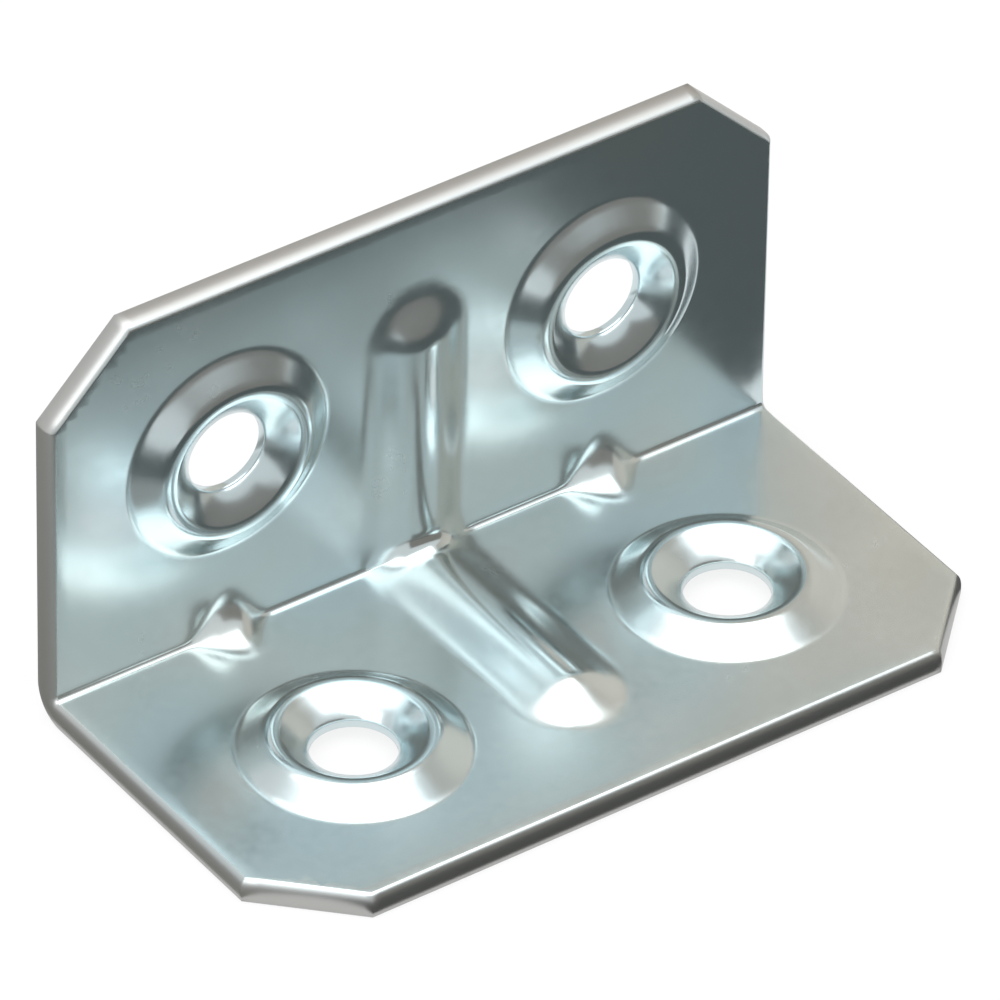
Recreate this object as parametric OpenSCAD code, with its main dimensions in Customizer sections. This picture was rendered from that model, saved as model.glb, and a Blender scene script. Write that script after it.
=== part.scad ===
// Corner brace: one zinc-plated steel sheet, cut, pressed and folded to a right angle.
// X runs along the fold, the foot reaches towards -Y and the upright stands along +Z.
// The origin lies under the middle of the foot, on its underside.

/* [Sheet] */
// Length of the fold
fold_len = 50; // [46:1:80]
// Height of the upright, from the underside of the foot
upright_h = 26; // [24:0.5:50]
// Reach of the foot, from the back of the upright
foot_len = 26; // [24:0.5:50]
// Thickness of the sheet
sheet_t = 1.5; // [1.2:0.1:2]
// Inner radius of the fold
fold_r = 0.7; // [0.4:0.1:1.2]
// Length cut from each side of every free corner
corner_cut = 5.3; // [2:0.1:7]
// Width of the rounding that the shear leaves on the inner side of an edge
edge_w = 0.6; // [0.3:0.1:0.8]
// Drop of that rounding into the thickness
edge_drop = 0.35; // [0.2:0.05:0.5]

/* [Screw holes] */
// Distance between the two holes of a leg
hole_pitch = 26; // [24:0.5:30]
// Distance from a hole to the back of the other leg
hole_off = 14.3; // [13.5:0.1:17]
// Diameter of the hole at its throat
hole_d = 5; // [3.5:0.1:5.6]
// Length of the straight wall at the throat
throat_len = 0.6; // [0.3:0.1:0.8]
// Outer diameter of the pressed ring round a hole
ring_d = 13.5; // [12.5:0.1:14.5]
// Width of the ring's flank, from its outer rim in to the crest line
flank_w = 1.95; // [1.7:0.05:2.2]
// Height of the crest over the sheet
ring_h = 1.2; // [0.9:0.1:1.4]
// Radius that rounds the crest
crest_r = 1; // [0.5:0.1:1.1]

/* [Rib] */
// Width of the rib at the surface of the sheet
rib_w = 5.3; // [4:0.1:7]
// Height of the rib over the sheet
rib_h = 1.2; // [0.8:0.1:1.4]
// Height of the upright sides that carry the rib's arc
rib_lip = 0.1; // [0.05:0.05:0.2]
// Reach of the rib along each leg, from the back of the other leg
rib_len = 19.6; // [15:0.1:22]
// Radius of the rib's crest where it turns the fold
rib_fold_r = 2.3; // [1:0.1:3]

/* [Gussets] */
// Width of each gusset at the surface of the sheet
gusset_w = 4.6; // [3.6:0.1:5.2]
// Height of a gusset over the sheet
gusset_h = 0.9; // [0.6:0.1:1.2]
// Reach of a gusset along each leg, from the inner face of the other leg
gusset_reach = 3; // [2.6:0.1:3.5]
// Metal left between the gusset's crease and the groove behind it
gusset_wall = 1.1; // [0.8:0.1:1.4]
// Width of the groove behind a gusset
groove_w = 2.4; // [1.6:0.1:2.8]

/* [Hidden] */
$fn = 96;

past = 1;                                           // how far a cutting shape runs past the metal
reach = fold_len + foot_len + upright_h;            // longer than the bracket in every direction
half = fold_len / 2;
fold_out = fold_r + sheet_t;                        // outer radius of the fold
// Circle that rounds a sheared edge: it touches the inner face and ends at the side
edge_r = (edge_w * edge_w + edge_drop * edge_drop) / (2 * edge_drop);

// Ring section, as radius from the hole's axis and height over the outer face
ring_r = ring_d / 2;
hole_r = hole_d / 2;
floor_z = ring_h;                                   // the boss keeps the sheet's thickness
throat_z = floor_z + throat_len;
crest = [ring_r - flank_w, sheet_t + ring_h - crest_r];  // centre of the crest's rounding
foot_pt = [ring_r, sheet_t] - crest;
throat_pt = [hole_r, throat_z] - crest;
flank_a = atan2(foot_pt[1], foot_pt[0]) + acos(crest_r / norm(foot_pt));
bowl_a = atan2(throat_pt[1], throat_pt[0]) - acos(crest_r / norm(throat_pt));
flank_slope = 90 - flank_a;                         // angle of the flank to the sheet
mouth_r = ring_r - sheet_t * tan(flank_slope / 2);  // rim of the recess in the outer face
recess_r = mouth_r - floor_z / tan(flank_slope);    // rim of the recess's floor

// Rib section: an arc of radius rib_r on upright sides that stand rib_lip over the sheet
rib_rise = rib_h - rib_lip;
rib_r = (rib_w * rib_w / 4 + rib_rise * rib_rise) / (2 * rib_rise);
rib_z = sheet_t + rib_h - rib_r;                    // height of the arc's centre
rib_turn = sheet_t + rib_h + rib_fold_r;            // from the back of a leg to the turning axis
rib_end = rib_len - rib_w / 2;                      // centre of the rounded end

// Gusset: a low dome on each leg; the two meet in a crease across the corner
dome_r = (gusset_w * gusset_w / 4 + gusset_h * gusset_h) / (2 * gusset_h);
dome_off = sheet_t + gusset_reach - gusset_w / 2;   // from the back of a leg to the other leg's dome
dome_z = sheet_t + gusset_h - dome_r;               // height of the dome's centre
crease = gusset_h * sqrt(2);                        // from the inner corner out to the crease
groove_len = 4 * (gusset_reach + sheet_t);          // runs out through both legs

// Half-plane of sheet that ends at x = 0, with its sheared edge rounded on the inner side
module sheet_strip() {
    difference() {
        translate([-reach, 0])
            square([reach, sheet_t]);
        difference() {
            translate([-edge_w, sheet_t - edge_r])
                square([edge_w + past, edge_r + past]);
            translate([-edge_w, sheet_t - edge_r])
                circle(edge_r);
        }
    }
}

// Full width of the sheet, cut square across
module sheet_section() {
    intersection() {
        translate([half, 0])
            sheet_strip();
        translate([-half, 0])
            mirror([1, 0])
                sheet_strip();
    }
}

// Flat leg with its edges: y runs away from the fold, z from the outer face to the inner one
module leg_plate(len) {
    difference() {
        intersection() {
            translate([0, len, 0])
                rotate([90, 0, 0])
                    linear_extrude(len - fold_out)
                        sheet_section();
            leg_outline(len);
        }
        for (s = [-1, 1])
            translate([s * hole_pitch / 2, hole_off, -past])
                cylinder(r = (mouth_r + ring_r) / 2, h = sheet_t + 2 * past);
    }
}

// What lies inside the end and both corner cuts of a leg
module leg_outline(len) {
    cut = corner_cut / 2;
    intersection_for (e = [[0, len, 90], [half - cut, len - cut, 45], [cut - half, len - cut, 135]])
        translate([e[0], e[1], 0])
            rotate([90, 0, e[2]])
                linear_extrude(reach, center = true)
                    sheet_strip();
}

// Pressed ring with a dished hole through it
module ring() {
    into = sheet_t / 4;
    foot = ring_r + into / tan(flank_slope);
    rotate_extrude()
        union() {
            polygon([
                [hole_r, floor_z],
                [hole_r, throat_z],
                crest + crest_r * [cos(bowl_a), sin(bowl_a)],
                crest + crest_r * [cos(flank_a), sin(flank_a)],
                [foot, sheet_t - into],
                [foot, 0],
                [mouth_r, 0],
                [recess_r, floor_z]
            ]);
            intersection() {
                translate(crest)
                    circle(crest_r);
                translate([hole_r, floor_z])
                    square([ring_r - hole_r, reach]);
            }
        }
}

module leg(len) {
    leg_plate(len);
    for (s = [-1, 1])
        translate([s * hole_pitch / 2, hole_off, 0])
            ring();
}

// Section of the rib, or of the hollow behind it, about the centre of its arc
module rib_section(r) {
    intersection() {
        circle(r);
        square([rib_w, 2 * (r + past)], center = true);
    }
}

// Straight run of the rib on one leg, with its rounded end
module rib_run(r) {
    translate([0, rib_end, rib_z]) {
        rotate([90, 0, 0])
            linear_extrude(rib_end - rib_turn)
                rib_section(r);
        rotate_extrude(angle = 180)
            intersection() {
                rib_section(r);
                translate([0, -r])
                    square([r, 2 * r]);
            }
    }
}

// Rib turning the fold, from one leg to the other
module rib_turned(r) {
    translate([0, -rib_turn, rib_turn])
        rotate([0, 90, 0])
            rotate_extrude(angle = 90)
                translate([rib_turn - rib_z, 0])
                    rotate(90)
                        rib_section(r);
}

module rib_form(r) {
    on_legs()
        rib_run(r);
    rib_turned(r);
}

// Domes of the gussets on one leg, in line with its screw holes
module gusset_domes() {
    for (s = [-1, 1])
        translate([s * hole_pitch / 2, dome_off, dome_z])
            sphere(dome_r);
}

// Grooves that the press leaves behind the gussets, across the outside of the corner
module gusset_grooves() {
    r = groove_w / 2;
    for (s = [-1, 1])
        translate([s * hole_pitch / 2, -sheet_t, sheet_t])
            rotate([135, 0, 0])
                translate([0, crease - gusset_wall - r, 0])
                    linear_extrude(groove_len, center = true)
                        union() {
                            circle(r);
                            translate([-r, -groove_len])
                                square([groove_w, groove_len]);
                        }
}

// Draws a leg's feature on the upright and on the foot
module on_legs() {
    rotate([90, 0, 0])
        children();
    mirror([0, 1, 0])
        children();
}

// Everything on the inner side of the sheet's middle, where pressed forms may stand
module inner_side() {
    mid = sheet_t / 2;
    rotate([90, 0, -90])
        linear_extrude(fold_len, center = true)
            union() {
                translate([fold_out, mid])
                    square(reach);
                translate([mid, fold_out])
                    square(reach);
                translate([fold_out, fold_out])
                    circle(fold_out - mid);
            }
}

// Sheet turning the fold
module fold() {
    translate([0, -fold_out, fold_out])
        rotate([0, 90, 0])
            rotate_extrude(angle = 90)
                translate([fold_out, 0])
                    rotate(90)
                        sheet_section();
}

module bracket() {
    color("lightsteelblue")
        translate([0, foot_len / 2, 0])
            difference() {
                union() {
                    rotate([90, 0, 0])
                        leg(upright_h);
                    mirror([0, 1, 0])
                        leg(foot_len);
                    fold();
                    intersection() {
                        union() {
                            rib_form(rib_r);
                            on_legs()
                                gusset_domes();
                        }
                        inner_side();
                    }
                }
                rib_form(rib_r - sheet_t);
                gusset_grooves();
            }
}

bracket();
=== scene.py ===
"""Zinc-plated corner brace, made as the real one is: a flat blank is cut, pressed and folded."""

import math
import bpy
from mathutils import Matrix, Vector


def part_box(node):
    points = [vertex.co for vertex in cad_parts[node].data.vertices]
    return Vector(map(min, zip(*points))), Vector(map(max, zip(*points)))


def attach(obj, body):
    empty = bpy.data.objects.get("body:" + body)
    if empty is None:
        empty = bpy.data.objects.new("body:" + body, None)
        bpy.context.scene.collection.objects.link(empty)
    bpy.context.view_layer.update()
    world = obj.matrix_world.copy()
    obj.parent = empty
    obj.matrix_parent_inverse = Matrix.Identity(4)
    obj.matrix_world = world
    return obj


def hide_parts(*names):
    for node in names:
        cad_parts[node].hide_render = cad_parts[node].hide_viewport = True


bl_info = {
    "name": "Corner brace bracket",
    "version": (1, 0, 0),
    "blender": (4, 5, 0),
    "location": "View3D > Sidebar > Corner brace",
    "description": "Builds a pressed corner brace and a small studio round it",
    "category": "Object",
}

import bmesh
import bpy
import numpy as np
from bpy.props import FloatProperty, FloatVectorProperty, PointerProperty
from mathutils import Euler, Vector

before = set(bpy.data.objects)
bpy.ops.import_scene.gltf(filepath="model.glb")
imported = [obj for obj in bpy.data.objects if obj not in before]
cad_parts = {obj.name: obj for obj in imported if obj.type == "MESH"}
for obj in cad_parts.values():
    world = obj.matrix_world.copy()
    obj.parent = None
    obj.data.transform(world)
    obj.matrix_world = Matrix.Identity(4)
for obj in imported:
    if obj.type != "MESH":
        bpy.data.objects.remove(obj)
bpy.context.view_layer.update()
LOW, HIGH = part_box("bracket")

# The press works with rays. They start on a line inside the corner, PIVOT away from both inner
# faces, where they turn from one leg to the other, and end RAY_PAST behind the sheet.
PIVOT = 0.004
RAY_PAST = 0.004
HALVINGS = 36            # steps in the search for a surface along a ray
SEAM = 0.0004            # softness of the seams between the grooves and the outer faces
BEND_SOFT = 0.0002       # softness of the two bends in a ring's recess
TAPER = 1.6              # how gently a gusset runs out: 1 is a plain arch, more is gentler

# Lines of the blank's grid: how far apart they are, and which strips have close ones
CLOSE, NEAR, WIDE, PLAIN = 0.0002, 0.0003, 0.0006, 0.0007
WINDOW = 0.0085          # half the side of the square that holds a ring
RIB_STRIP = 0.0042       # half the strip along the rib
GUSSET_STRIP = 0.0032    # half the strip along a gusset
GUSSET_STEP = 0.00028
RIB_END = (0.0034, 0.0006)    # strip round the end of the rib, inwards and outwards
FOLD_STEPS = 7           # lines in half of the fold's radius
FOLD_STEP = 0.00022      # between the fold's radius and the pivot

# Sheared edges
BURR = 0.0001            # rounding on the outer side of the blank
EDGE_STEP = 10           # degrees between the loops that round the inner side
TOUCH = 1e-6             # how near a point counts as on a line
MERGE = 2e-6             # how near two points become one

# Cards that only the metal shows, as painted reflections: name, setting with the colour, size,
# place, turn in degrees
CARDS = (
    ("low_card", "low_card", (0.34, 0.1064), (0.05, -0.0663, 0.0002), (0, 0, 0)),
    ("right_card", "low_card", (0.1949, 0.0211), (0.12255, -0.00255, 0.0002), (0, 0, 0)),
    ("left_card", "left_card", (0.05, 0.1), (-0.0501, 0.0369, 0.0002), (0, 0, 0)),
    ("front_card", "front_card", (0.30, 0.11), (0.115, -0.12, 0.041), (90, -8, 0)),
    ("back_card", "back_card", (1.2, 0.9), (0.56, 0.2, 0.45), (90, 0, -70)),
)


def length(name, description, default):
    """Setting in metres."""
    return FloatProperty(
        name=name, description=description, default=default, unit="LENGTH", precision=5
    )


def number(name, description, default):
    """Setting without a unit."""
    return FloatProperty(name=name, description=description, default=default)


def tint(name, description, default):
    """Setting that holds a colour."""
    return FloatVectorProperty(
        name=name, description=description, default=default, subtype="COLOR", min=0.0, max=1.0
    )


class BraceSheet(bpy.types.PropertyGroup):
    """Sheet, fold and outline"""

    width: length("Width", "Length of the fold", HIGH.x - LOW.x)
    foot: length("Foot", "Reach of the foot from the back of the upright", HIGH.y - LOW.y)
    upright: length("Upright", "Height of the upright from the underside", HIGH.z - LOW.z)
    thickness: length("Thickness", "Thickness of the sheet", 0.0015)
    fold: length("Fold radius", "Inner radius of the fold", 0.0004)
    bend: length("Bend radius", "Outer radius of the fold", 0.0022)
    corner: length("Corner cut", "Length cut from each side of a free corner", 0.0053)
    edge_width: length("Edge rounding", "Width of the rounding along a sheared edge", 0.00045)
    edge_drop: length("Edge drop", "Depth of that rounding", 0.0009)


class BraceRings(bpy.types.PropertyGroup):
    """Pressed rings with their dished screw holes"""

    pitch: length("Pitch", "Distance between the two holes of a leg", 0.026)
    offset: length("Offset", "Distance from a hole to the back of the other leg", 0.0143)
    hole: length("Hole", "Diameter of the hole at its throat", 0.0051)
    seat: length("Seat", "Height of the recess behind the hole", 0.00085)
    throat: length("Throat", "Length of the straight wall of the hole", 0.0006)
    outer: length("Outer diameter", "Diameter of the pressed ring", 0.0135)
    crest: length("Crest diameter", "Diameter of the ring's crest line", 0.0093)
    height: length("Height", "Height of the crest over the sheet", 0.0012)
    crest_radius: length("Crest radius", "Radius that rounds the crest", 0.00115)
    foot_radius: length("Foot radius", "Radius that blends the ring into the sheet", 0.0008)
    bow: length("Bow", "How far the wall of the bowl bulges towards the screw head", 0.0001)
    lip: length("Lip", "Radius that rounds the rim of the hole", 0.00018)


class BraceRib(bpy.types.PropertyGroup):
    """Rib across the fold"""

    width: length("Width", "Width of the rib at the sheet", 0.0050)
    height: length("Height", "Height of the rib over the sheet", 0.0012)
    reach: length("Reach", "Reach of the rib from the back of the other leg", 0.0193)
    turn: length("Turn", "Radius of the crest where the rib turns the fold", 0.0012)
    blend: length("Blend", "Softness of the rib's foot", 0.0011)


class BraceGussets(bpy.types.PropertyGroup):
    """Gussets in the fold, in line with the holes"""

    width: length("Width", "Width of each gusset along the fold", 0.0056)
    swell: length("Swell", "Radius that the middle of a gusset adds to the fold", 0.0029)
    wall: length("Wall", "Metal left behind the gusset", 0.0011)
    groove: length("Groove", "Width of the groove behind a gusset", 0.0024)


class ZincFinish(bpy.types.PropertyGroup):
    """Colours and roughness of the plated sheet"""

    plate: tint("Plate", "Colour of the zinc", (0.632, 0.735, 0.76))
    haze: tint("Haze", "Colour of the duller patches", (0.59, 0.675, 0.695))
    straw: tint("Straw", "Colour where the clear film is thicker", (0.68, 0.725, 0.705))
    cut: tint("Cut", "Colour of the sheared edges", (0.46, 0.458, 0.445))
    gloss: FloatVectorProperty(
        name="Roughness",
        description="Roughness of the cleanest zinc, the dullest zinc and the sheared edges",
        default=(0.20, 0.27, 0.42), min=0.0, max=1.0,
    )
    grain: number("Grain", "How much fine grain changes the roughness", 0.08)
    waviness: length("Waviness", "Depth of the slow waves in the sheet", 0.00002)


class Studio(bpy.types.PropertyGroup):
    """Camera, floor, light and the cards that paint reflections into the metal"""

    camera: FloatVectorProperty(
        name="Camera", description="Place of the camera", subtype="TRANSLATION",
        default=(-0.370859, -0.516949, 0.506547), precision=6,
    )
    turn: FloatVectorProperty(
        name="Turn", description="Turn of the camera", subtype="EULER",
        default=tuple(math.radians(a) for a in (52.17347, -0.75774, -34.90617)),
    )
    lens: number("Lens", "Focal length in millimetres", 512.623)
    floor: tint("Floor", "Colour of the floor", (0.8, 0.8, 0.8))
    shadow: number("Shadow", "How much of the floor's own shading shows", 0.18)
    sky: number("Sky", "Strength of the even light from all sides", 0.82)
    top_lamp: number("Top lamp", "Watts of the softbox overhead", 2.8)
    side_lamp: number("Side lamp", "Watts of the softbox on the left", 0.8)
    low_card: tint(
        "Low card", "Colour of the cards that lie in front and on the right", (0.077, 0.083, 0.082)
    )
    left_card: tint("Left card", "Colour of the card that lies on the left", (0.25, 0.25, 0.24))
    front_card: tint("Front card", "Colour of the card that stands in front", (0.25, 0.23, 0.21))
    back_card: tint(
        "Back card", "Colour of the card that stands behind on the right", (0.66, 0.61, 0.55)
    )


def marks(*spans):
    """Positions of grid lines, from spans given as (start, end, rough spacing)."""
    out = []
    for a, b, step in spans:
        n = max(1, round(abs(b - a) / step))
        out += [a + (b - a) * i / n for i in range(n)]
    return out + [spans[-1][1]]


def mirrored(values):
    """The values and their negatives, in order, with each number once."""
    return sorted({round(s * v, 9) for v in values for s in (-1, 1)})


def fold_marks(sheet):
    """Grid lines of half of the corner, as distances from the fold's middle in the flat blank."""
    r = sheet.fold
    turns = [math.radians(45 + 45 * i / FOLD_STEPS) for i in range(FOLD_STEPS + 1)]
    points = [(r - r * math.cos(t), r - r * math.sin(t)) for t in turns]
    points += [(p, 0) for p in marks((r, PIVOT, FOLD_STEP))[1:]]
    turned = [math.atan2(PIVOT - q, PIVOT - p) / math.radians(45) - 1 for p, q in points]
    return [PIVOT * t for t in turned]


class Blank:
    """Sizes of the flat blank that several steps share."""

    def __init__(self, sheet, rings):
        self.t = sheet.thickness
        self.edge = sheet.edge_width
        self.half = sheet.width / 2
        self.start = sheet.thickness + PIVOT        # from the back of a leg to where it is plain
        self.ends = (sheet.foot - sheet.thickness, sheet.upright - sheet.thickness)
        self.hole_x = rings.pitch / 2
        self.hole_y = rings.offset - sheet.thickness
        # Outline as the direction of each side and its distance from the middle, cut corners last
        c = sheet.corner / math.sqrt(2)
        d = math.sqrt(0.5)
        foot, upright = self.ends
        high, low = (self.half + upright) * d - c, (self.half + foot) * d - c
        self.lines = [
            (Vector((1, 0)), self.half), (Vector((-1, 0)), self.half),
            (Vector((0, 1)), upright), (Vector((0, -1)), foot),
            (Vector((d, d)), high), (Vector((-d, d)), high),
            (Vector((d, -d)), low), (Vector((-d, -d)), low),
        ]


def flat_grid(bm, blank, sheet, rib):
    """A grid with close lines where the press makes forms, and wider ones where it doesn't."""
    rim = blank.half - blank.edge
    side = blank.hole_x
    left, right = side - GUSSET_STRIP, side + GUSSET_STRIP
    xs = mirrored(marks(
        (0, RIB_STRIP, CLOSE), (RIB_STRIP, side - WINDOW, NEAR), (side - WINDOW, left, WIDE),
        (left, right, GUSSET_STEP), (right, side + WINDOW, WIDE), (side + WINDOW, rim, PLAIN),
    ))
    end = rib.reach - sheet.thickness
    before, past = end - RIB_END[0], end + RIB_END[1]
    first, second = blank.hole_y - WINDOW, blank.hole_y + WINDOW

    def leg(last):
        return marks(
            (PIVOT, first, NEAR), (first, before, WIDE), (before, past, CLOSE),
            (past, second, WIDE), (second, last - blank.edge, PLAIN),
        )[1:]

    near = fold_marks(sheet)
    foot, upright = blank.ends
    ys = sorted([-v for v in near[1:] + leg(foot)] + near + leg(upright))
    bmesh.ops.create_grid(bm, x_segments=len(xs) - 1, y_segments=len(ys) - 1, size=1.0)
    for v in bm.verts:
        v.co.x = xs[round((v.co.x + 1) / 2 * (len(xs) - 1))]
        v.co.y = ys[round((v.co.y + 1) / 2 * (len(ys) - 1))]


def cut_corners(bm, blank):
    """Cuts the four corners off, short of the width that the sheared edge adds."""
    for normal, distance in blank.lines[4:]:
        n = normal.to_3d()
        bmesh.ops.bisect_plane(
            bm, geom=bm.verts[:] + bm.edges[:] + bm.faces[:], dist=TOUCH,
            plane_co=n * (distance - blank.edge), plane_no=n, clear_outer=True,
        )


def ring_radii(rings):
    """Radii of the loops round a hole, from its window in to the throat."""
    outer, crest, hole = rings.outer / 2, rings.crest / 2, rings.hole / 2
    skirt, near_crest, near_hole = 0.0009, 0.0005, 0.0003
    foot = (outer + 0.6 * rings.foot_radius, outer - 0.5 * rings.foot_radius)
    return (
        [outer + skirt]
        + marks((*foot, 0.00014))
        + marks((foot[1], crest + near_crest, 0.0003))[1:]
        + marks((crest + near_crest, crest - near_crest, 0.0001))[1:]
        + marks((crest - near_crest, hole + near_hole, 0.0004))[1:]
        + [hole + d for d in (0.0002, 0.00012, 0.00006, 0.00002, 0.0)]
    )


def extrude_loop(bm, edges):
    """Extrudes a row of edges and gives the new edges and their points."""
    made = bmesh.ops.extrude_edge_only(bm, edges=edges)["geom"]
    verts = {g for g in made if isinstance(g, bmesh.types.BMVert)}
    edges = [g for g in made if isinstance(g, bmesh.types.BMEdge) and set(g.verts) <= verts]
    return edges, verts


def cut_rings(bm, blank, rings):
    """Takes a square out of the grid round each hole and fills it with round loops."""
    for sx in (-1, 1):
        for sy in (-1, 1):
            c = Vector((sx * blank.hole_x, sy * blank.hole_y, 0))
            inside = [f for f in bm.faces if all(
                abs(x) < WINDOW for x in (f.calc_center_median() - c).xy)]
            bmesh.ops.delete(bm, geom=inside, context="FACES")
            edges = [e for e in bm.edges if e.is_boundary and all(
                max(abs(x) for x in (v.co - c).xy) < WINDOW + TOUCH for v in e.verts)]
            for radius in ring_radii(rings):
                edges, verts = extrude_loop(bm, edges)
                for v in verts:
                    v.co = c + (v.co - c).normalized() * radius


def give_thickness(bm, blank, sheet):
    """Doubles the blank, walls the holes, and rounds the sheared edge out from the inner face."""
    t = blank.t
    sheared = bm.verts.layers.float.new("sheared")
    holes, rim = [], []
    for e in bm.edges:
        if e.is_boundary:
            here = e.verts[0].co.xy
            at_rim = any(abs(n.dot(here) - (d - blank.edge)) < TOUCH for n, d in blank.lines)
            (rim if at_rim else holes).append(e)
    under = bmesh.ops.duplicate(bm, geom=bm.verts[:] + bm.edges[:] + bm.faces[:])["geom"]
    under_faces = [g for g in under if isinstance(g, bmesh.types.BMFace)]
    under_verts = {g for g in under if isinstance(g, bmesh.types.BMVert)}
    for v in bm.verts:
        if v not in under_verts:
            v.co.z = t
    bmesh.ops.reverse_faces(bm, faces=under_faces)

    for v in extrude_loop(bm, holes)[1]:
        v.co.z = 0

    # Loops of the edge: how far out, how high, and how much bare steel shows
    w, drop = blank.edge, sheet.edge_drop
    path = [(w * math.sin(a), t - drop * (1 - math.cos(a)), math.sin(a))
            for a in (math.radians(EDGE_STEP * i) for i in range(1, 90 // EDGE_STEP + 1))]
    path += [(w, BURR, 1.0), (w - 0.3 * BURR, 0.3 * BURR, 0.6)]
    path += [(w - BURR, 0, 0.0), (0, 0, 0.0)]
    edges, out = rim, 0.0
    for far, z, cut in path:
        edges, verts = extrude_loop(bm, edges)
        for v in verts:
            here = v.co.xy
            on = [n for n, d in blank.lines if abs(n.dot(here) - (d - blank.edge + out)) < TOUCH]
            step = on[0] if len(on) == 1 else (on[0] + on[1]) / (1 + on[0].dot(on[1]))
            v.co.x += step.x * (far - out)
            v.co.y += step.y * (far - out)
            v.co.z = z
            v[sheared] = cut
        out = far
    bmesh.ops.remove_doubles(bm, verts=bm.verts[:], dist=MERGE)
    bmesh.ops.recalc_face_normals(bm, faces=bm.faces[:])


def soft_min(a, b, k):
    """The smaller of two distances, blended over k."""
    h = np.clip(k - np.abs(a - b), 0, None) / k
    return np.minimum(a, b) - h * h * k / 4


def soft_max(a, b, k):
    """The larger of two distances, blended over k."""
    return -soft_min(-a, -b, k)


def corner_distance(p, q, r):
    """Distance to two faces at a right angle that a radius joins."""
    inside = r - np.hypot(r - p, r - q)
    return np.where((p < r) & (q < r), inside, np.minimum(p, q))


def rib_distance(x, p, q, rib, reach):
    """Distance to the rib, an arc in section, which turns the fold and has round ends."""
    rise = corner_distance(p, q, rib.height + rib.turn)
    along = np.maximum(p, q) - (reach - rib.width / 2)
    across = np.hypot(x, np.clip(along, 0, None))
    full = (rib.width ** 2 / 4 + rib.height ** 2) / (2 * rib.height)
    return np.hypot(across, rise - (rib.height - full)) - full


def ring_profile(rings, t):
    """Heights of a ring's inner face over the sheet, and of its recess, for a row of radii."""
    outer, crest, hole = rings.outer / 2, rings.crest / 2, rings.hole / 2
    rc, h = rings.crest_radius, rings.height
    cz = h - rc
    bottom = rings.seat - t + rings.throat
    foot = (outer - crest, -cz)
    throat = (hole - crest, bottom - cz)
    fa = math.atan2(foot[1], foot[0]) + math.acos(rc / math.hypot(*foot))
    ba = math.atan2(throat[1], throat[0]) - math.acos(rc / math.hypot(*throat))
    slope = math.pi / 2 - fa
    arc = np.linspace(ba % (2 * math.pi), fa, 40)
    rr = np.concatenate([[hole], crest + rc * np.cos(arc), [outer, 1.0]])
    zz = np.concatenate([[bottom], cz + rc * np.sin(arc), [0, 0]])
    fine = np.linspace(hole, outer + 0.002, 3000)
    soft = rings.foot_radius * math.tan(slope / 2) * math.tan(slope)
    flank = soft_max((outer - fine) * math.tan(slope), np.zeros_like(fine), soft)
    inner = np.where(fine > crest + rc * math.cos(fa), flank, np.interp(fine, rr, zz))
    wall = np.clip((fine - hole) / (crest + rc * math.cos(ba) - hole), 0, 1)
    inner += rings.bow * np.sin(math.pi * wall) ** 2
    inner -= rounded_rim(fine, hole, rings.lip)
    mouth = outer - t * math.tan(slope / 2)
    floor_r = mouth - rings.seat / math.tan(slope)
    back = soft_min((mouth - fine) * math.tan(slope), np.full_like(fine, rings.seat), BEND_SOFT)
    back = soft_max(back, np.zeros_like(fine), BEND_SOFT)
    back = np.where(fine < floor_r - 0.0005, rings.seat, back)
    back += rounded_rim(fine, hole, rings.lip / 3)
    return fine, inner, back


def rounded_rim(fine, hole, r):
    """How far a radius takes the surface away next to the hole."""
    left = np.sqrt(np.clip(r ** 2 - (hole + r - fine) ** 2, 0, None))
    return np.where(fine < hole + r, r - left, 0)


def ray_hit(surface, low, high):
    """First zero of surface(distance) between low and high, found by halving."""
    low, high = low.copy(), high.copy()
    for _ in range(HALVINGS):
        middle = (low + high) / 2
        free = surface(middle) > 0
        low = np.where(free, middle, low)
        high = np.where(free, high, middle)
    return (low + high) / 2


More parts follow.
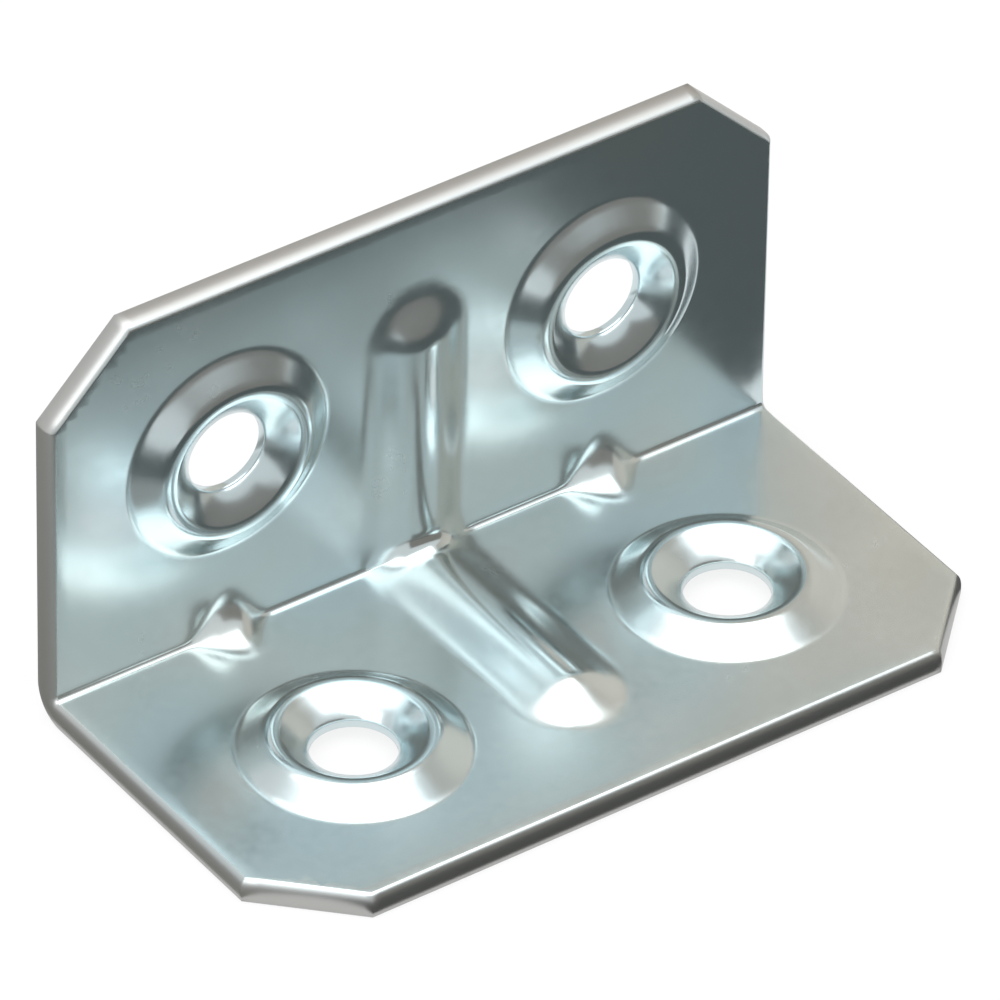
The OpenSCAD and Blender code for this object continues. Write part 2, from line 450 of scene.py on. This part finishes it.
def press(bm, blank, sheet, rings, rib, gussets):
    """Moves every point of the blank to its place on the pressed and folded sheet."""
    bm.verts.ensure_lookup_table()
    co = np.array([v.co for v in bm.verts])
    x, y, z = co.T
    t, start = blank.t, blank.start
    turn = np.radians(45) * (1 + np.clip(-y / PIVOT, -1, 1))
    da, db = -np.cos(turn), -np.sin(turn)
    run = np.clip(np.abs(y) - PIVOT, 0, None)
    a0 = start + np.where(y < 0, run, 0)
    b0 = start + np.where(y > 0, run, 0)

    side = np.abs(x) - blank.hole_x
    across = np.clip(np.abs(side) / gussets.width, 0, 0.5)
    swell = gussets.swell * np.cos(math.pi * across) ** TAPER
    web = (sheet.fold + gussets.swell) * (math.sqrt(2) - 1)

    def room(d):
        """Distance from the inner face, on its free side."""
        p, q = a0 + da * d - t, b0 + db * d - t
        folded = corner_distance(p, q, sheet.fold + swell)
        return soft_min(folded, rib_distance(x, p, q, rib, rib.reach - t), rib.blend)

    def metal(d):
        """Distance from the outer face, on the metal's side."""
        p, q = a0 + da * d - t, b0 + db * d - t
        plain = corner_distance(p + t, q + t, sheet.bend)
        hollow = rib_distance(x, p, q, rib, rib.reach - t)
        r = gussets.groove / 2
        out = np.clip((p + q) / math.sqrt(2) - (web - gussets.wall - r), 0, None)
        slot = np.hypot(side, out) - r
        return soft_min(soft_min(plain, hollow + t, SEAM), slot, SEAM)

    near = np.zeros_like(x)
    reach = np.full_like(x, PIVOT + t + RAY_PAST)
    inner = ray_hit(room, near, reach)
    outer = ray_hit(metal, inner + 1e-5, reach)

    fine, front, back = ring_profile(rings, t)
    r = np.hypot(side, np.abs(y) - blank.hole_y)
    inner = inner - np.where(np.abs(y) > PIVOT, np.interp(r, fine, front), 0)
    outer = outer - np.where(np.abs(y) > PIVOT, np.interp(r, fine, back), 0)

    d = outer + (inner - outer) * z / t
    a, b = a0 + da * d, b0 + db * d
    proud = np.clip(corner_distance(a - t, b - t, sheet.fold) / rings.height, 0, 1)
    crest = bm.verts.layers.float.new("crest")
    for v, px, pa, pb, high in zip(bm.verts, x, a, b, proud):
        v.co = (px, HIGH.y - pa, LOW.z + pb)
        v[crest] = high


def new_material(name):
    """Material with its nodes on, and its Principled BSDF."""
    m = bpy.data.materials.new(name)
    m.use_nodes = True
    return m, m.node_tree.nodes["Principled BSDF"]


def add(tree, kind, values=(), **settings):
    """Adds a node. Values give each socket, by name or number, what it holds or is joined to."""
    node = tree.nodes.new(kind)
    for key, value in settings.items():
        setattr(node, key, value)
    for key, value in dict(values).items():
        if isinstance(value, bpy.types.NodeSocket):
            tree.links.new(value, node.inputs[key])
        else:
            node.inputs[key].default_value = value
    return node


def patches(tree, where, size, detail, low, high):
    """Cloudy mask from 0 to 1, with clouds of about the given size."""
    noise = add(tree, "ShaderNodeTexNoise", {
        "Vector": where, "Scale": 1 / size, "Detail": detail}).outputs["Fac"]
    return smooth_step(tree, noise, low, high)


def smooth_step(tree, value, low, high):
    """0 below low, 1 above high, and a smooth rise between them."""
    return add(tree, "ShaderNodeMapRange", {
        "Value": value, "From Min": low, "From Max": high}, interpolation_type="SMOOTHSTEP",
    ).outputs["Result"]


def blend_colours(tree, factor, a, b):
    """Colour a where the factor is 0, and b where it is 1."""
    mix = add(tree, "ShaderNodeMix", data_type="RGBA")
    for socket, value in zip((mix.inputs[0], mix.inputs[6], mix.inputs[7]), (factor, a, b)):
        if isinstance(value, bpy.types.NodeSocket):
            tree.links.new(value, socket)
        else:
            socket.default_value = value
    return mix.outputs[2]


def blend_values(tree, factor, a, b):
    """Value a where the factor is 0, and b where it is 1."""
    return add(tree, "ShaderNodeMapRange", {
        "Value": factor, "To Min": a, "To Max": b}).outputs["Result"]


def zinc_plate(finish):
    """Bright zinc: bluish, with dull patches, a faint straw film, fine grain and greyer edges."""
    m, shader = new_material("Zinc plate")
    tree = m.node_tree
    where = add(tree, "ShaderNodeTexCoord").outputs["Object"]
    haze = patches(tree, where, size=0.007, detail=2, low=0.3, high=0.8)
    straw = patches(tree, where, size=0.016, detail=1, low=0.35, high=0.85)
    grain = add(tree, "ShaderNodeTexNoise", {
        "Vector": where, "Scale": 1300, "Detail": 1.5}).outputs["Fac"]
    waves = add(tree, "ShaderNodeTexNoise", {
        "Vector": where, "Scale": 140, "Detail": 1}).outputs["Fac"]
    cut = add(tree, "ShaderNodeAttribute", attribute_name="sheared").outputs["Fac"]
    crest = add(tree, "ShaderNodeAttribute", attribute_name="crest").outputs["Fac"]
    rubbed = smooth_step(tree, crest, 0.75, 1.0)

    colour = blend_colours(tree, haze, (*finish.plate, 1), (*finish.haze, 1))
    colour = blend_colours(tree, straw, colour, (*finish.straw, 1))
    colour = blend_colours(tree, cut, colour, (*finish.cut, 1))
    tree.links.new(colour, shader.inputs["Base Color"])

    clean, dull, edge = finish.gloss
    rough = blend_values(tree, haze, clean, dull)
    rough = blend_values(tree, rubbed, rough, 0.8 * clean)
    speck = add(tree, "ShaderNodeMath", {
        0: grain, 1: finish.grain, 2: -finish.grain / 2}, operation="MULTIPLY_ADD").outputs[0]
    rough = add(tree, "ShaderNodeMath", {0: rough, 1: speck}, operation="ADD").outputs[0]
    rough = blend_values(tree, cut, rough, edge)
    tree.links.new(rough, shader.inputs["Roughness"])
    shader.inputs["Metallic"].default_value = 1.0

    slow = add(tree, "ShaderNodeBump", {
        "Height": waves, "Strength": 1.0, "Distance": finish.waviness})
    tree.links.new(slow.outputs["Normal"], shader.inputs["Normal"])
    return m


def pale_floor(studio):
    """White where the camera, metal or glass sees it, with some of its shading for the shadow."""
    m, shader = new_material("Pale floor")
    tree = m.node_tree
    shader.inputs["Base Color"].default_value = (*studio.floor, 1)
    shader.inputs["Roughness"].default_value = 0.9
    seen = background_rays(tree)
    part = add(tree, "ShaderNodeMath", {
        0: seen, 1: 1 - studio.shadow}, operation="MULTIPLY").outputs[0]
    white = add(tree, "ShaderNodeEmission", {"Strength": 1.0})
    mix = add(tree, "ShaderNodeMixShader", {
        0: part, 1: shader.outputs[0], 2: white.outputs[0]})
    tree.links.new(mix.outputs[0], tree.nodes["Material Output"].inputs["Surface"])
    return m


def background_rays(tree):
    """1 for rays that show the background: from the camera, off a shiny face or through glass."""
    path = add(tree, "ShaderNodeLightPath").outputs
    some = add(tree, "ShaderNodeMath", {
        0: path["Is Camera Ray"], 1: path["Is Glossy Ray"]}, operation="MAXIMUM").outputs[0]
    return add(tree, "ShaderNodeMath", {
        0: some, 1: path["Is Transmission Ray"]}, operation="MAXIMUM").outputs[0]


def stage_sheet(name, material, size, place, turn):
    """Flat rectangle that belongs to the studio."""
    bm = bmesh.new()
    bmesh.ops.create_grid(bm, x_segments=1, y_segments=1, size=0.5)
    bmesh.ops.scale(bm, vec=(*size, 1), verts=bm.verts)
    matrix = Euler([math.radians(a) for a in turn]).to_matrix()
    bmesh.ops.rotate(bm, cent=(0, 0, 0), matrix=matrix, verts=bm.verts)
    bmesh.ops.translate(bm, vec=place, verts=bm.verts)
    mesh = bpy.data.meshes.new(name)
    bm.to_mesh(mesh)
    bm.free()
    mesh.materials.append(material)
    sheet = bpy.data.objects.new(name, mesh)
    bpy.context.scene.collection.objects.link(sheet)
    return sheet


def painted_reflection_card(name, colour, size, place, turn):
    """Painted reflection: a card hidden from the camera, from diffuse rays and from shadows, so
    that only the metal shows it. The low ones lie on the floor round the bracket, where the camera
    sees white floor.
    """
    m, shader = new_material(name)
    shader.inputs["Base Color"].default_value = (*colour, 1)
    shader.inputs["Roughness"].default_value = 1.0
    shader.inputs["Specular IOR Level"].default_value = 0.0
    card = stage_sheet(name, m, size, place, turn)
    card.visible_camera = False
    card.visible_diffuse = False
    card.visible_shadow = False


def softbox(name, watts, size, place):
    """Square soft lamp that faces the bracket."""
    data = bpy.data.lights.new(name, "AREA")
    data.energy, data.size = watts, size
    lamp = bpy.data.objects.new(name, data)
    lamp.location = place
    lamp.rotation_euler = Vector(place).to_track_quat("Z", "Y").to_euler()
    bpy.context.scene.collection.objects.link(lamp)


class OBJECT_OT_brace_press(bpy.types.Operator):
    """Cut the blank, press its forms, fold it and plate it"""

    bl_idname = "object.brace_press"
    bl_label = "Press the brace"

    def execute(self, context):
        scene = context.scene
        sheet, rings = scene.brace_sheet, scene.brace_rings
        rib, gussets = scene.brace_rib, scene.brace_gussets
        blank = Blank(sheet, rings)
        bm = bmesh.new()
        flat_grid(bm, blank, sheet, rib)
        cut_corners(bm, blank)
        cut_rings(bm, blank, rings)
        give_thickness(bm, blank, sheet)
        press(bm, blank, sheet, rings, rib, gussets)
        mesh = bpy.data.meshes.new("Pressed brace")
        bm.to_mesh(mesh)
        bm.free()
        mesh.shade_smooth()
        piece = bpy.data.objects.new("pressed_brace", mesh)
        scene.collection.objects.link(piece)
        mesh.materials.append(zinc_plate(scene.brace_finish))
        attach(piece, "root")
        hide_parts("bracket")
        return {"FINISHED"}


class OBJECT_OT_brace_studio(bpy.types.Operator):
    """Set up the floor, the light and the camera"""

    bl_idname = "object.brace_studio"
    bl_label = "Set up the studio"

    def execute(self, context):
        scene = context.scene
        studio = scene.brace_studio
        stage_sheet("floor", pale_floor(studio), (6, 6), (0, 0, 0), (0, 0, 0))
        # Painted reflections: cards that the camera does not see but the metal shows
        for name, colour, size, place, turn in CARDS:
            painted_reflection_card(name, getattr(studio, colour), size, place, turn)

        world = bpy.data.worlds.new("Studio")
        scene.world = world
        world.use_nodes = True
        tree = world.node_tree
        back = tree.nodes["Background"]
        back.inputs["Color"].default_value = (1, 1, 1, 1)
        back.inputs["Strength"].default_value = studio.sky

        softbox("top_lamp", studio.top_lamp, 0.7, (0.0, -0.03, 0.6))
        softbox("side_lamp", studio.side_lamp, 0.4, (-0.45, -0.1, 0.35))

        data = bpy.data.cameras.new("Camera")
        data.lens = studio.lens
        data.clip_end = 20
        camera = bpy.data.objects.new("camera", data)
        camera.location = studio.camera
        camera.rotation_euler = Euler(studio.turn)
        scene.collection.objects.link(camera)
        scene.camera = camera
        scene.view_settings.view_transform = "Standard"
        return {"FINISHED"}


class VIEW3D_PT_brace(bpy.types.Panel):
    """Steps that build the corner brace"""

    bl_label = "Corner brace"
    bl_idname = "VIEW3D_PT_brace"
    bl_space_type = "VIEW_3D"
    bl_region_type = "UI"
    bl_category = "Corner brace"

    def draw(self, context):
        for operator in (OBJECT_OT_brace_press, OBJECT_OT_brace_studio):
            self.layout.operator(operator.bl_idname)
        for group in GROUPS:
            box = self.layout.box()
            settings = getattr(context.scene, group)
            for name in settings.__annotations__:
                box.prop(settings, name)


GROUPS = {
    "brace_sheet": BraceSheet, "brace_rings": BraceRings, "brace_rib": BraceRib,
    "brace_gussets": BraceGussets, "brace_finish": ZincFinish, "brace_studio": Studio,
}
CLASSES = (*GROUPS.values(), OBJECT_OT_brace_press, OBJECT_OT_brace_studio, VIEW3D_PT_brace)


def register():
    for c in CLASSES:
        bpy.utils.register_class(c)
    for name, group in GROUPS.items():
        setattr(bpy.types.Scene, name, PointerProperty(type=group))


def unregister():
    for name in GROUPS:
        delattr(bpy.types.Scene, name)
    for c in reversed(CLASSES):
        bpy.utils.unregister_class(c)


def main():
    """Builds the brace and its studio."""
    register()
    bpy.ops.object.brace_press()
    bpy.ops.object.brace_studio()


if __name__ == "__main__":
    main()
